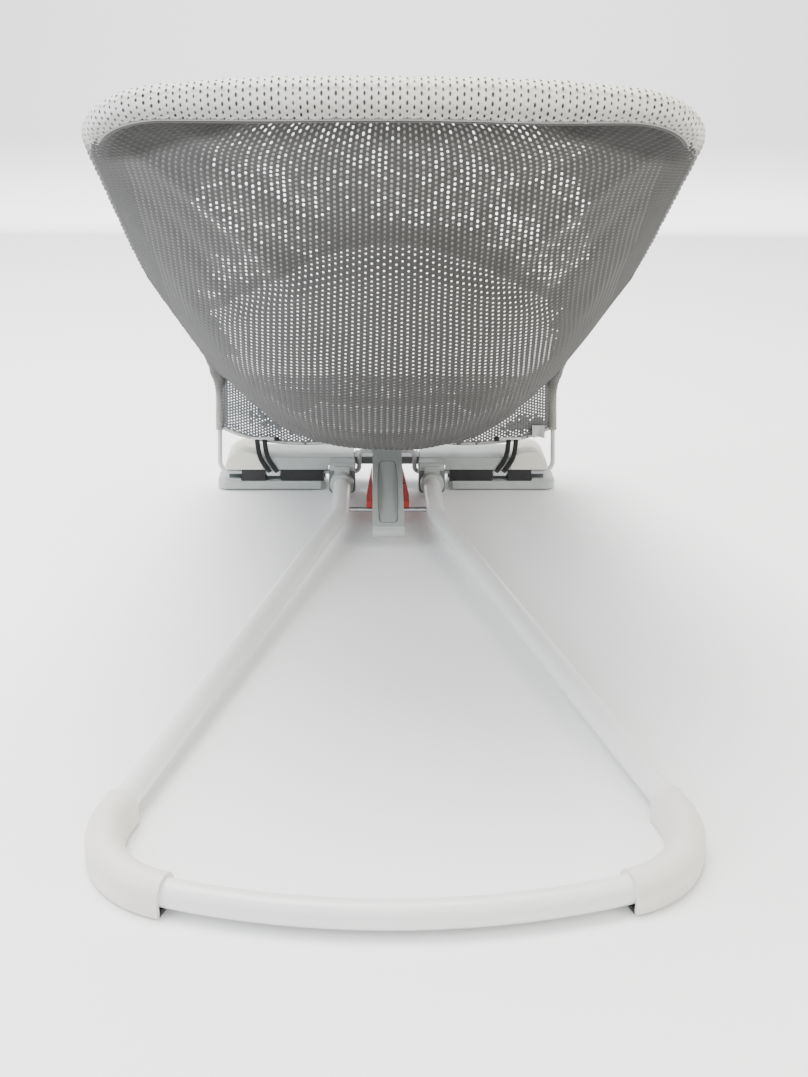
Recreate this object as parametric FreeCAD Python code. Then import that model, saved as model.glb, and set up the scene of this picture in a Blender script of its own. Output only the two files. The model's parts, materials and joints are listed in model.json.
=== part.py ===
import FreeCAD, Part
import math
import os

# Infant bouncer seat: a bent tube base, a wide front foot that holds the hinge, a spring wire
# and tube seat frame with a mesh sling, and a latch arm that rests on a cross wire.
# Millimetres. +Z is up, +Y points to the rear bar and the head end, and +X is the sitter's
# left. The seat hinge runs along X.

Vector = FreeCAD.Vector
SIDES = {"left": 1, "right": -1}

# Driving sizes
hinge_y = -355.9
hinge_z = 20.0
tube_radius = 9.0
tube_wall = 1.5
tube_z = 17.0
rear_drop = 5.0
wire_radius = 2.5
hoop_radius = 6.0
hoop_wall = 1.2
seat_half_width = 181.0
fabric = 3.0
fit = 0.07

# Base tube, measured rearwards from the hinge line
socket_half_gap = 48.0
socket_start = 10.0
bend_reach = 119.0
bend_radius = 60.0
corner_half_gap = 197.4
corner_reach = 701.6
corner_radius = 66.0
bow_reach = 765.0
bow_radius = 440.0
cross_wire_reach = 105.0
cross_wire_radius = 2.75

# Rear corner feet
foot_half_width = 12.0
foot_edge_z = 1.2
sole_half_width = 8.4
foot_leg_run = 12.0
foot_bar_run = 1.0

# Front foot
plate_inner = 67.0
plate_outer = 184.0
plate_rear = hinge_y + 6.0
plate_front = hinge_y - 40.0
plate_bottom = 2.0
plate_top = 11.0
cover_inner = 36.0
cover_outer = 174.5
cover_rear = hinge_y + 8.0
cover_front = hinge_y - 38.0
cover_bottom = 25.0
cover_top = 39.0
cover_wall = 2.5
moon_peak_x = 152.0
moon_peak_z = 45.0
moon_inner_x = 134.0
bush_spans = ((68.5, 114.5), (131.5, 157.0))
screw_places = (85.0, 125.0, 163.0)
screw_y = hinge_y - 22.0

# Seat frame
lean = math.radians(110.3)
knee_reach = 110.0
knee_radius = 32.0
rail_angle = math.radians(30.3)
rail_length = 628.0
rail_bow_x = 200.0
hoop_corner_x = 195.0
hoop_corner_radius = 58.0
hoop_start = 42.0
roll_radius = 13.0
crank = 24.0
crank_half_width = 30.0

# Latch arm
arm_half_width = 15.5
arm_wall = 2.8
arm_roof = 4.6
arm_length = 173.0
latch_bush_radius = 5.0
notch_pitch = crank * math.sin(math.radians(16.5))
notch_radius = 2.9

along = Vector(0, math.cos(rail_angle), math.sin(rail_angle))
below = Vector(0, math.sin(rail_angle), -math.cos(rail_angle))
up = Vector(0, 0, 1)
hinge = Vector(0, hinge_y, hinge_z)
leg_direction = Vector(0, math.cos(lean), math.sin(lean))
knee = hinge + leg_direction * knee_reach
crank_pin = hinge + up * crank
cross_wire_y = hinge_y + cross_wire_reach
tube_tilt = math.degrees(math.asin(rear_drop / corner_reach))
cross_wire_z = tube_z - rear_drop * cross_wire_reach / corner_reach
notch_crest_z = cross_wire_z + cross_wire_radius + 2.6


# Helpers

def save(name, *solids):
    shape = solids[0] if len(solids) == 1 else Part.makeCompound(list(solids))
    for solid in shape.Solids:
        assert solid.isValid() and solid.Volume > 0, name
    shape.exportStep(f"parts/{name}.step")
    return shape


def box(x0, x1, y0, y1, z0, z1):
    return Part.makeBox(x1 - x0, y1 - y0, z1 - z0, Vector(x0, y0, z0))


def mirrored(shape):
    return shape.mirror(Vector(0, 0, 0), Vector(1, 0, 0))


def on_side(shape, sign):
    """A solid drawn on +X, put on the side with this sign."""
    return shape if sign > 0 else mirrored(shape)


def tilted(shape):
    """Lowers the rear of a part drawn level with the tube sockets."""
    turned = shape.copy()
    turned.rotate(Vector(0, hinge_y, tube_z), Vector(1, 0, 0), -tube_tilt)
    return turned


def above(shape, floor_z):
    return shape.cut(box(-300, 300, hinge_y, hinge_y + 900, -60, floor_z))


def x_rod(radius, x0, x1, y, z):
    return Part.makeCylinder(radius, x1 - x0, Vector(x0, y, z), Vector(1, 0, 0))


def z_rod(radius, x, y, z0, z1):
    return Part.makeCylinder(radius, z1 - z0, Vector(x, y, z0), Vector(0, 0, 1))


def rounded_path(points, radii):
    """Straight runs joined by tangent arcs, with one radius for each inner point."""
    edges = []
    start = points[0]
    for before, corner, after, radius in zip(points, points[1:], points[2:], radii):
        inward = (before - corner).normalize()
        outward = (after - corner).normalize()
        half_turn = (math.pi - inward.getAngle(outward)) / 2
        trim = radius * math.tan(half_turn)
        first = corner + inward * trim
        last = corner + outward * trim
        bisector = (inward + outward).normalize()
        middle = corner + bisector * (radius / math.cos(half_turn) - radius)
        edges.append(Part.LineSegment(start, first).toShape())
        edges.append(Part.Arc(first, middle, last).toShape())
        start = last
    edges.append(Part.LineSegment(start, points[-1]).toShape())
    return Part.Wire(edges)


def rod_along(path, radius):
    start = path.OrderedEdges[0]
    point = start.valueAt(start.FirstParameter)
    tangent = start.tangentAt(start.FirstParameter)
    profile = Part.Wire([Part.makeCircle(radius, point, tangent)])
    return Part.Wire(path).makePipeShell([profile], True, False)


def pipe_along(path, radius, bore):
    return rod_along(path, radius).cut(rod_along(path, bore))


def prism(points, x0, x1):
    """A side outline of (y, z) points, extruded along X."""
    corners = [Vector(x0, y, z) for y, z in points]
    face = Part.Face(Part.makePolygon(corners + corners[:1]))
    return face.extrude(Vector(x1 - x0, 0, 0))


def rounded(shape, radius, chosen):
    """Fillets the edges whose middle point passes the test."""
    edges = [e for e in shape.Edges if chosen(e.valueAt((e.FirstParameter + e.LastParameter) / 2))]
    return shape.makeFillet(radius, edges)


def screw(x, y, head_z, tip_z):
    """A pan screw from below: a short head under a plain shank."""
    head = z_rod(3.2, x, y, head_z, head_z + 1.6)
    return head.fuse(z_rod(1.6, x, y, head_z + 1.6, tip_z)).removeSplitter()


def screw_hole(x, y, head_z, tip_z):
    head = z_rod(3.4, x, y, -1.0, head_z + 1.6)
    return head.fuse(z_rod(1.6, x, y, head_z + 1.5, tip_z))


# Base tube, cross wire and rear corner feet

def tube_path():
    half = [
        Vector(socket_half_gap, hinge_y + socket_start, tube_z),
        Vector(socket_half_gap, hinge_y + bend_reach, tube_z),
        Vector(corner_half_gap, hinge_y + corner_reach, tube_z),
    ]
    other = [Vector(-p.x, p.y, p.z) for p in reversed(half)]
    middle = [Vector(0, hinge_y + bow_reach, tube_z)]
    radii = [bend_radius, corner_radius, bow_radius, corner_radius, bend_radius]
    return rounded_path(half + middle + other, radii)


def corner_frame():
    """The leg's end and the bar's start on the left corner, with their directions."""
    bend = Vector(socket_half_gap, hinge_y + bend_reach, tube_z)
    corner = Vector(corner_half_gap, hinge_y + corner_reach, tube_z)
    bow = Vector(0, hinge_y + bow_reach, tube_z)
    leg = (corner - bend).normalize()
    bar = (bow - corner).normalize()
    turn = leg.getAngle(bar)
    trim = corner_radius * math.tan(turn / 2)
    return corner - leg * trim, leg, corner + bar * trim, bar, turn


def corner_sweep(section):
    """Sweeps an outline of (across, z) points round the left rear corner."""
    leg_end, leg, bar_start, bar, turn = corner_frame()
    inward = Vector(-leg.y, leg.x, 0)
    centre = leg_end + inward * corner_radius
    leg_part = section(leg_end, inward).extrude(leg * -foot_leg_run)
    curve = section(leg_end, inward).revolve(centre, Vector(0, 0, 1), math.degrees(turn))
    bar_inward = Vector(-bar.y, bar.x, 0)
    bar_part = section(bar_start, bar_inward).extrude(bar * foot_bar_run)
    return leg_part.fuse([curve, bar_part])


def hooped(half_width):
    """An upright arch section about the tube, with legs that run past the floor."""
    def section(point, across):
        low_out = point - across * half_width
        low_in = point + across * half_width
        drop = up * (-2 * tube_radius)
        edges = [
            Part.LineSegment(low_out + drop, low_out).toShape(),
            Part.Arc(low_out, point + up * half_width, low_in).toShape(),
            Part.LineSegment(low_in, low_in + drop).toShape(),
            Part.LineSegment(low_in + drop, low_out + drop).toShape(),
        ]
        return Part.Face(Part.Wire(edges))
    return section


def sole_strip(point, across):
    """A flat strip that fills the arch from below the floor up to just under the tube."""
    top = point - up * (tube_radius + 0.2)
    drop = up * (-2 * tube_radius)
    left = top - across * sole_half_width
    right = top + across * sole_half_width
    return Part.Face(Part.makePolygon([left, right, right + drop, left + drop, left]))


def foot_screw_points():
    leg_end, leg, bar_start, bar, turn = corner_frame()
    return [leg_end - leg * 2.0, bar_start - bar * 9.0]


def build_base():
    path = tube_path()
    solid_tube = tilted(rod_along(path, tube_radius))
    tube = solid_tube.cut(tilted(rod_along(path, tube_radius - tube_wall)))
    wire = x_rod(cross_wire_radius, -socket_half_gap, socket_half_gap, cross_wire_y, cross_wire_z)
    save("cross_wire", wire.cut(solid_tube))

    screw_tip = tube_z - rear_drop - tube_radius + 4.0
    screws = []
    for sign in SIDES.values():
        for point in foot_screw_points():
            screws.append(screw(sign * point.x, point.y, 1.0, screw_tip))
            tube = tube.cut(screw_hole(sign * point.x, point.y, 1.0, screw_tip))
        tube = tube.cut(z_rod(2.0, sign * socket_half_gap, hinge_y + 18.0, 0, 40))
    save("base_tube", tube)
    save("corner_foot_screws", *screws)

    shell = tilted(corner_sweep(hooped(foot_half_width)))
    shell = above(shell.cut(tilted(corner_sweep(hooped(tube_radius)))), foot_edge_z)
    sole = above(tilted(corner_sweep(sole_strip)), 0)
    for point in foot_screw_points():
        sole = sole.cut(screw_hole(point.x, point.y, 1.0, screw_tip))
    for side, sign in SIDES.items():
        save(f"{side}_corner_foot", on_side(shell, sign))
        save(f"{side}_corner_sole", on_side(sole, sign))
    return solid_tube


# Front foot: plates and pads below, a chassis with the tube sockets, covers on top

def foot_plate():
    plate = box(plate_inner, plate_outer, plate_front, plate_rear, plate_bottom, plate_top)
    plate = rounded(plate, 11.0, lambda p: p.x > plate_outer - 1 and 5 < p.z < 8)
    inner = [e for e in plate.Edges if abs(e.CenterOfMass.x - plate_inner) < 0.1
             and abs(e.CenterOfMass.z - 6.5) < 0.1]
    plate = plate.makeChamfer(5.0, inner)
    plate = rounded(plate, 1.8, lambda p: p.z > plate_top - 0.1)
    tab = box(158, 170, plate_rear - 6.0, plate_rear - 1.0, plate_top - 1.0, plate_top + 2.5)
    tab = rounded(tab, 1.2, lambda p: p.z > plate_top + 2.4)
    return plate.fuse(tab)


def foot_pad():
    pad = box(plate_inner + 7, plate_outer - 5, plate_front + 4, plate_rear - 4, 0, plate_bottom)
    return rounded(pad, 7.0, lambda p: abs(p.z - plate_bottom / 2) < 0.1)


def chassis(solid_tube):
    beam = box(plate_inner, 172, hinge_y - 32, hinge_y - 6, plate_top, cover_bottom)
    web = box(34, 164, hinge_y - 34, hinge_y - 10, cover_bottom - 1, 31)
    shelf = box(34, 62, hinge_y - 34, hinge_y + 26, 24.5, 30)
    socket = box(34, 62, hinge_y + 8, hinge_y + 26, 5, 30)
    socket = rounded(socket, 4.0, lambda p: p.z < 6 and abs(p.y - hinge_y - 17) < 1)
    side = beam.fuse([web, shelf, socket])
    bridge = box(-35, 35, hinge_y - 34, hinge_y - 12, 24.5, 33)
    body = bridge.fuse([side, mirrored(side)]).removeSplitter()
    for sign in SIDES.values():
        body = body.cut(z_rod(2.0, sign * socket_half_gap, hinge_y + 18.0, 0, 40))
    return body.cut(solid_tube)


def cover_outline(inset, bottom):
    """The cover's front view: a level bar that swells into a half moon at its outer end."""
    x0 = cover_inner + inset
    x1 = cover_outer - inset
    top = cover_top - inset
    peak = Vector(moon_peak_x, 0, moon_peak_z - inset)
    shoulder = Vector(moon_inner_x + inset / 2, 0, top)
    outer = Vector(x1, 0, bottom + 2)
    outer_mid = Vector(x1 - 5.0, 0, peak.z - 6.0)
    inner_mid = Vector(moon_inner_x + 7.5 + inset / 2, 0, peak.z - 2.0)
    edges = [
        Part.LineSegment(Vector(x0, 0, bottom), Vector(x1, 0, bottom)).toShape(),
        Part.LineSegment(Vector(x1, 0, bottom), outer).toShape(),
        Part.Arc(outer, outer_mid, peak).toShape(),
        Part.Arc(peak, inner_mid, shoulder).toShape(),
        Part.LineSegment(shoulder, Vector(x0, 0, top)).toShape(),
        Part.LineSegment(Vector(x0, 0, top), Vector(x0, 0, bottom)).toShape(),
    ]
    return Part.Face(Part.Wire(edges))


def front_cover():
    outer = cover_outline(0, cover_bottom)
    outer.translate(Vector(0, cover_front, 0))
    outer = outer.extrude(Vector(0, cover_rear - cover_front, 0))
    outer = rounded(outer, 1.5, lambda p: p.z > cover_bottom + 5 and abs(p.y - cover_rear) < 0.1)
    inner = cover_outline(cover_wall, cover_bottom - 2)
    inner.translate(Vector(0, cover_front + cover_wall, 0))
    inner = inner.extrude(Vector(0, cover_rear - cover_front - 2 * cover_wall, 0))
    shelf_gap = box(33, 63, hinge_y - 35.5, hinge_y + 27, 24, 31.2)
    return outer.cut(inner).cut(shelf_gap)


def socket_collar(solid_tube):
    start = Vector(socket_half_gap, hinge_y + 26, tube_z)
    collar = Part.makeCylinder(12.5, 11, start, Vector(0, 1, 0))
    collar = rounded(collar, 2.0, lambda p: p.y > hinge_y + 36)
    hood = box(35, 61, hinge_y + 8.2, hinge_y + 26, 30.2, cover_top - 1)
    hood = rounded(hood, 5.0, lambda p: p.z > cover_top - 2 and p.y > hinge_y + 25)
    saddle = box(40, 56, hinge_y + 26, hinge_y + 29, tube_z, 35)
    return collar.fuse([hood, saddle]).cut(solid_tube).removeSplitter()


def hinge_bush(x0, x1):
    block = box(x0, x1, hinge_y - 6, hinge_y + 5, plate_top, cover_bottom)
    return block.cut(x_rod(wire_radius + fit, x0 - 1, x1 + 1, hinge_y, hinge_z))


def build_front(solid_tube):
    plate = foot_plate()
    pad = foot_pad()
    body = chassis(solid_tube)
    cover = front_cover()
    collar = socket_collar(solid_tube)
    screws = []
    for place in screw_places:
        hole = screw_hole(place, screw_y, 3.0, 21)
        plate = plate.cut(hole)
        pad = pad.cut(hole)
        body = body.cut(hole).cut(mirrored(hole))
        for sign in SIDES.values():
            screws.append(screw(sign * place, screw_y, 3.0, 21))
    save("front_chassis", body)
    save("front_foot_screws", *screws)
    for side, sign in SIDES.items():
        save(f"{side}_foot_plate", on_side(plate, sign))
        save(f"{side}_foot_pad", on_side(pad, sign))
        save(f"{side}_front_cover", on_side(cover, sign))
        save(f"{side}_socket_collar", on_side(collar, sign))
    bushes = [hinge_bush(*span) for span in bush_spans]
    save("hinge_bushes", *bushes, *[mirrored(bush) for bush in bushes])
    pins = [z_rod(2.0, sign * socket_half_gap, hinge_y + 18.0, 5.5, 29.5) for sign in (1, -1)]
    save("tube_pins", *pins)


# Seat frame

def seat_wire_path():
    def point(x, base):
        return Vector(x, base.y, base.z)
    half = [
        point(seat_half_width, knee + along * (hoop_start + 22)),
        point(seat_half_width, knee),
        point(seat_half_width, hinge),
        point(crank_half_width, hinge),
        point(crank_half_width, crank_pin),
    ]
    other = [Vector(-p.x, p.y, p.z) for p in reversed(half)]
    radii = [knee_radius, 12.0, 6.0, 6.0]
    return rounded_path(half + other, radii + radii[::-1])


def rail_point(reach, x):
    base = knee + along * reach
    return Vector(x, base.y, base.z)


def hoop_path():
    """The back hoop in the seat plane: rails that bow out, round corners, an arched top."""
    half = [
        rail_point(hoop_start, seat_half_width),
        rail_point(hoop_start + 30, seat_half_width),
        rail_point(330, rail_bow_x),
        rail_point(rail_length - 4, hoop_corner_x),
    ]
    other = [Vector(-p.x, p.y, p.z) for p in reversed(half)]
    crown = [rail_point(rail_length + 12, 0)]
    radii = [150.0, 1600.0, hoop_corner_radius]
    radii = radii + [1500.0] + radii[::-1]
    return rounded_path(half + crown + other, radii)


def split_path(path, keep):
    return Part.Wire([e for e in path.OrderedEdges if keep(e.CenterOfMass)])


def ferrule(sign):
    """A stepped bush that seats the spring wire in the hoop's open end."""
    start = rail_point(hoop_start, sign * seat_half_width)
    plug = Part.makeCylinder(hoop_radius - hoop_wall, 20, start, along)
    collar = Part.makeCylinder(hoop_radius, 6, start - along * 6, along)
    bore = Part.makeCylinder(wire_radius, 40, start - along * 8, along)
    return plug.fuse(collar).cut(bore).removeSplitter()


def build_seat_frame():
    save("seat_wire", rod_along(seat_wire_path(), wire_radius))
    path = hoop_path()
    save("back_hoop", pipe_along(path, hoop_radius, hoop_radius - hoop_wall))
    for side, sign in SIDES.items():
        save(f"{side}_wire_ferrule", ferrule(sign))
    top_z = (knee + along * (rail_length - 40)).z
    top = split_path(path, lambda p: p.z > top_z and abs(p.x) < hoop_corner_x - 15)
    save("top_roll", pipe_along(top, roll_radius, hoop_radius + 0.2))
    for side, sign in SIDES.items():
        rail = split_path(path, lambda p: sign * p.x > hoop_corner_x - 15)
        save(f"{side}_rail_sleeve", pipe_along(rail, 9.0, hoop_radius + 0.2))


# Mesh sling

def sag(part, across):
    """Depth of the sling below the rails; part runs 0 to 1 from knee to top, across -1 to 1."""
    swell = 108 * math.sin(math.pi * part ** 0.72) ** 1.3
    depth = 8 + 17 * (1 - part) + swell
    return depth * (1 - abs(across) ** 2.4)


def rail_half_width(part):
    """Half width of the sling between the rail sleeves, rounded in at the top corners."""
    reach = rail_length * part
    widest = 330.0
    if reach < widest:
        rail = seat_half_width + (rail_bow_x - seat_half_width) * max(0, reach - 72) / (widest - 72)
    else:
        rail = rail_bow_x - (rail_bow_x - hoop_corner_x) * (reach - widest) / (rail_length - widest)
    into_corner = max(0, reach - (rail_length - 4 - hoop_corner_radius))
    inside = hoop_corner_radius - roll_radius - 1
    return rail - 12.5 - inside + math.sqrt(inside ** 2 - into_corner ** 2)


def sling_point(part, across, lift=0.0, width=None):
    half = width or rail_half_width(part)
    base = knee + along * (rail_length * part)
    spread = min(1.0, half / rail_half_width(part))
    drop = below * (sag(part, across * spread) - lift + 3)
    return Vector(half * across, base.y, base.z) + drop


def ribbon(points, thickness):
    """A closed thin section: a curve, and the same curve moved by the thickness."""
    curve = Part.BSplineCurve()
    curve.interpolate(points)
    moved = Part.BSplineCurve()
    moved.interpolate([p + thickness for p in points])
    first = Part.LineSegment(points[0], points[0] + thickness)
    last = Part.LineSegment(points[-1] + thickness, points[-1])
    edges = [first.toShape(), moved.toShape(), last.toShape(), curve.toShape()]
    return Part.Wire(Part.__sortEdges__(edges))


leg_half_width = 177.0
panel_seam = 0.70
ACROSS = [math.sin(math.pi / 2 * step / 6) for step in range(-6, 7)]


def sling_panel(parts, lift=0.0, width=None):
    sections = []
    for part in parts:
        half = None if width is None else width(part)
        row = [sling_point(part, a, lift, half) for a in ACROSS]
        sections.append(ribbon(row, below * fabric))
    return Part.makeLoft(sections, True, False)


def hem_reach(x):
    """Distance of the leg panel's lower hem from the hinge line."""
    outer = 18 * (abs(x) / 178) ** 5
    return 28 + outer + 16 * math.exp(-(x / 42) ** 2)


def leg_panel():
    """The sheet from the knee down to the hem, drawn as upright slices side by side."""
    thick = Vector(0, -leg_direction.z, leg_direction.y) * fabric
    slices = []
    for across in ACROSS:
        top = sling_point(0.004, across, 0.0, leg_half_width)
        low = hinge + leg_direction * hem_reach(top.x) + Vector(top.x, 0, 0)
        slices.append(Part.makePolygon([top, low, low + thick, top + thick, top]))
    return Part.makeLoft(slices, True, False)


def build_sling():
    save("back_panel", sling_panel([panel_seam, 0.78, 0.87, 0.96]))
    save("seat_bucket", sling_panel([0.03, 0.09, 0.17, 0.27, 0.38, 0.49, 0.60, panel_seam]))
    save("leg_panel", leg_panel())
    save("restraint_flap", sling_panel([0.06, 0.16, 0.27, 0.38], 8.0, flap_half_width))


def flap_half_width(part):
    return 60 + 190 * part


def build_restraint_toggles():
    toggles = []
    part = 0.34
    half = flap_half_width(part)
    for sign in SIDES.values():
        spot = sling_point(part, sign * 0.86, 8.0, half)
        across = sling_point(part, sign * 0.9, 8.0, half) - sling_point(part, sign * 0.82, 8.0, half)
        normal = across.cross(along).normalize() * sign
        inward = normal if normal.dot(below) < 0 else normal * -1
        toggles.append(Part.makeCylinder(9, 5, spot + inward * 1.5, inward))
    save("restraint_toggles", *toggles)


def strap_ribbon(x_top, x_low, width):
    """One elastic run: off the hem, over the cover's rear edge and down to the hinge wire."""
    hem = hinge + leg_direction * 32 + Vector(0, 4.5, 0)
    route = [
        (hem.y, hem.z, 0.0),
        (cover_rear + 2.8, cover_top + 1.8, 0.35),
        (cover_rear + 2.0, cover_bottom - 1.5, 0.9),
        (hinge_y + wire_radius + 1.5, hinge_z + 1.0, 1.0),
    ]
    pieces = []
    for (y0, z0, a0), (y1, z1, a1) in zip(route, route[1:]):
        x0 = x_top + (x_low - x_top) * a0
        x1 = x_top + (x_low - x_top) * a1
        run = Vector(0, y1 - y0, z1 - z0).normalize()
        side = Vector(0, run.z, -run.y) * 0.6
        corners = [
            Vector(x0, y0, z0),
            Vector(x0 + width, y0, z0),
            Vector(x1 + width, y1, z1),
            Vector(x1, y1, z1),
        ]
        lower = [c - side for c in corners]
        pieces.append(Part.Face(Part.makePolygon(lower + lower[:1])).extrude(side * 2))
    return pieces[0].fuse(pieces[1:]).removeSplitter()


def strap_clip():
    body = x_rod(wire_radius + 2.2, 116, 130, hinge_y, hinge_z)
    body = body.cut(x_rod(wire_radius, 115, 131, hinge_y, hinge_z))
    return body.cut(box(115, 131, hinge_y - 6, hinge_y - 1.5, hinge_z - 6, hinge_z + 6))


def build_straps():
    strands = [strap_ribbon(138 - 8 * k, 124 - 8 * k, 5.0) for k in range(2)]
    clip = strap_clip()
    for side, sign in SIDES.items():
        trimmed = [s.cut(x_rod(wire_radius + 2.2, 100, 140, hinge_y, hinge_z)) for s in strands]
        save(f"{side}_elastic_strap", *[on_side(s, sign) for s in trimmed])
        save(f"{side}_strap_clip", on_side(clip, sign))
    spot = hinge + leg_direction * 40
    save("care_tab", box(-172, -158, spot.y + 1.0, spot.y + 2.0, spot.z - 2.0, spot.z + 11.0))


# Latch: a bush on the crank, the arm with its cap, and the notched catch below the arm

def arm_top_z(y):
    """Height of the arm's top face: level at the cap, then a steady fall to the lip."""
    fall = max(0.0, y - (hinge_y + 12))
    return hinge_z + 31 - fall * 25.0 / (arm_length - 18)


def latch_arm():
    front = hinge_y - 9
    lip_y = hinge_y + arm_length
    wire_free = cross_wire_y + notch_pitch + 3.2
    catch_front = hinge_y + 20
    outline = [
        (front, crank_pin.z),
        (front, crank_pin.z - 6.5),
        (hinge_y + 10, crank_pin.z - 6.5),
        (catch_front, arm_top_z(catch_front) - 17),
        (catch_front + 22, arm_top_z(catch_front + 22) - 17),
        (catch_front + 30, arm_top_z(catch_front + 30) - 6.5),
        (wire_free, arm_top_z(wire_free) - 6.0),
        (wire_free + 1, 17.0),
        (lip_y - 22, 14.0),
        (lip_y, 14.0),
        (lip_y + 1, arm_top_z(lip_y)),
        (hinge_y + 12, arm_top_z(hinge_y)),
        (hinge_y + 9, arm_top_z(hinge_y)),
        (hinge_y + 9, crank_pin.z),
    ]
    solid = prism(outline, -arm_half_width, arm_half_width)
    hollow = [
        (hinge_y + 13, 10.0),
        (hinge_y + 13, arm_top_z(hinge_y + 13) - arm_roof),
        (lip_y - 10, arm_top_z(lip_y - 10) - arm_roof),
        (lip_y - 10, 10.0),
    ]
    inside = arm_half_width - arm_wall
    solid = solid.cut(prism(hollow, -inside, inside))
    solid = solid.cut(x_rod(latch_bush_radius + fit, -20, 20, crank_pin.y, crank_pin.z))
    lip = x_rod(5.0, -arm_half_width, arm_half_width, lip_y - 1.0, 18.5)
    solid = solid.fuse(lip).removeSplitter()
    dish_depth = 3.4
    dish_reach = 62.0
    dish_radius = (dish_reach ** 2 + dish_depth ** 2) / (2 * dish_depth)
    middle_y = hinge_y + 104
    tilt = math.atan2(25.0, arm_length - 18)
    rise = dish_radius - dish_depth
    centre_y = middle_y + rise * math.sin(tilt)
    centre_z = arm_top_z(middle_y) + rise * math.cos(tilt)
    return solid.cut(x_rod(dish_radius, -9.5, 9.5, centre_y, centre_z))


def latch_cap():
    cap = box(-arm_half_width, arm_half_width, hinge_y - 9, hinge_y + 9, crank_pin.z, crank_pin.z + 7)
    cap = rounded(cap, 3.0, lambda p: p.z > crank_pin.z + 6.9 and p.y < hinge_y - 8)
    return cap.cut(x_rod(latch_bush_radius + fit, -20, 20, crank_pin.y, crank_pin.z))


def catch():
    """Two cheeks that flare beside the arm, joined by a web with a notch for each position."""
    pivot_y = hinge_y + 30
    pivot_z = 32.0
    rear = cross_wire_y + notch_pitch + 2.4
    front = hinge_y + 22
    crest = notch_crest_z
    plan = [
        Vector(16.3, front, crest),
        Vector(21.5, rear - 16, crest),
        Vector(21.5, rear, crest),
        Vector(-21.5, rear, crest),
        Vector(-21.5, rear - 16, crest),
        Vector(-16.3, front, crest),
    ]
    body = Part.Face(Part.makePolygon(plan + plan[:1])).extrude(Vector(0, 0, 12))
    between = arm_half_width + 0.4
    body = body.cut(box(-between, between, front - 1, rear + 1, crest + 2.6, crest + 20))
    slope = prism([(front - 1, 36), (rear + 1, 28.5), (rear + 1, 50), (front - 1, 50)], -30, 30)
    body = body.cut(slope)
    lug = box(-8, 8, pivot_y - 4, pivot_y + 4, crest, pivot_z + 4)
    neck = box(-8, 8, front + 2, front + 20, crest, crest + 2.6)
    body = body.fuse([lug, neck])
    body = body.cut(box(-25, 25, front - 1, front + 26, crest - 1, crest + 5).cut(
        box(-11.5, 11.5, front - 2, front + 27, crest - 2, crest + 6)))
    for step in (-1, 0, 1):
        centre_y = cross_wire_y + step * notch_pitch
        body = body.cut(x_rod(notch_radius, -25, 25, centre_y, crest - 1.2))
    return body.cut(x_rod(1.5 + fit, -20, 20, pivot_y, pivot_z)), pivot_y, pivot_z


def build_latch():
    bush = x_rod(latch_bush_radius, -15, 15, crank_pin.y, crank_pin.z)
    save("latch_bush", bush.cut(x_rod(wire_radius + fit, -16, 16, crank_pin.y, crank_pin.z)))
    body, pivot_y, pivot_z = catch()
    pin = x_rod(1.5, -arm_half_width, arm_half_width, pivot_y, pivot_z)
    save("latch_arm", latch_arm().cut(pin))
    save("catch_pin", pin)
    save("latch_cap", latch_cap())
    save("notched_catch", body)
    spring = prism([
        (pivot_y + 10, arm_top_z(pivot_y + 10) - arm_roof),
        (pivot_y + 34, arm_top_z(pivot_y + 34) - arm_roof),
        (pivot_y + 40, notch_crest_z + 3.4),
        (pivot_y + 39.4, notch_crest_z + 3.4),
        (pivot_y + 33.6, arm_top_z(pivot_y + 34) - arm_roof - 0.6),
        (pivot_y + 10, arm_top_z(pivot_y + 10) - arm_roof - 0.6),
    ], -4, 4)
    save("catch_spring", spring)


build_front(build_base())
build_seat_frame()
build_sling()
build_restraint_toggles()
build_straps()
build_latch()
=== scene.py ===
import bpy
import json
import math
import numpy as np
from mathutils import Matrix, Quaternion, Vector
from mathutils.bvhtree import BVHTree


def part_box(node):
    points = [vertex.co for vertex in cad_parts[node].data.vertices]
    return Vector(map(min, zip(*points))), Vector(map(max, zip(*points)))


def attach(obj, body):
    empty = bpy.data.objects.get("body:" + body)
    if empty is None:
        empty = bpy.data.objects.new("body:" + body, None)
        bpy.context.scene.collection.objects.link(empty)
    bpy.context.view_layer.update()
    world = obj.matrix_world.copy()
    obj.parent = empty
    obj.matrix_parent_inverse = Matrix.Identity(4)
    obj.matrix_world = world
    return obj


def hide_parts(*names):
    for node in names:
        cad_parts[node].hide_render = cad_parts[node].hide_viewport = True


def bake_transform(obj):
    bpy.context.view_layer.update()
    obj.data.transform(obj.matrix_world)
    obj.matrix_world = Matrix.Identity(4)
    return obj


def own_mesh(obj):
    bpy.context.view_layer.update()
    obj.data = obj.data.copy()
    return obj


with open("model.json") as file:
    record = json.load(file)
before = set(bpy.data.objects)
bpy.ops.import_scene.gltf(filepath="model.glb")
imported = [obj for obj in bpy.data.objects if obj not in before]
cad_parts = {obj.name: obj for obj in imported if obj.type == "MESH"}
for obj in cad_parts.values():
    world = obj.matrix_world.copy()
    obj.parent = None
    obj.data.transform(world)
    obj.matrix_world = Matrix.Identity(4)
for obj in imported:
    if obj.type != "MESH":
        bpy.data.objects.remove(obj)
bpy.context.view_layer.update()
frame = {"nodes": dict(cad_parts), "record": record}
nodes = frame["nodes"]
scene = bpy.context.scene


# ---------------------------------------------------------------- camera, floor and light

def aim(thing, direction, roll=0.0):
    thing.rotation_mode = "QUATERNION"
    turn = Quaternion((0, 0, 1), math.radians(roll))
    thing.rotation_quaternion = Vector(direction).to_track_quat("-Z", "Y") @ turn


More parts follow.
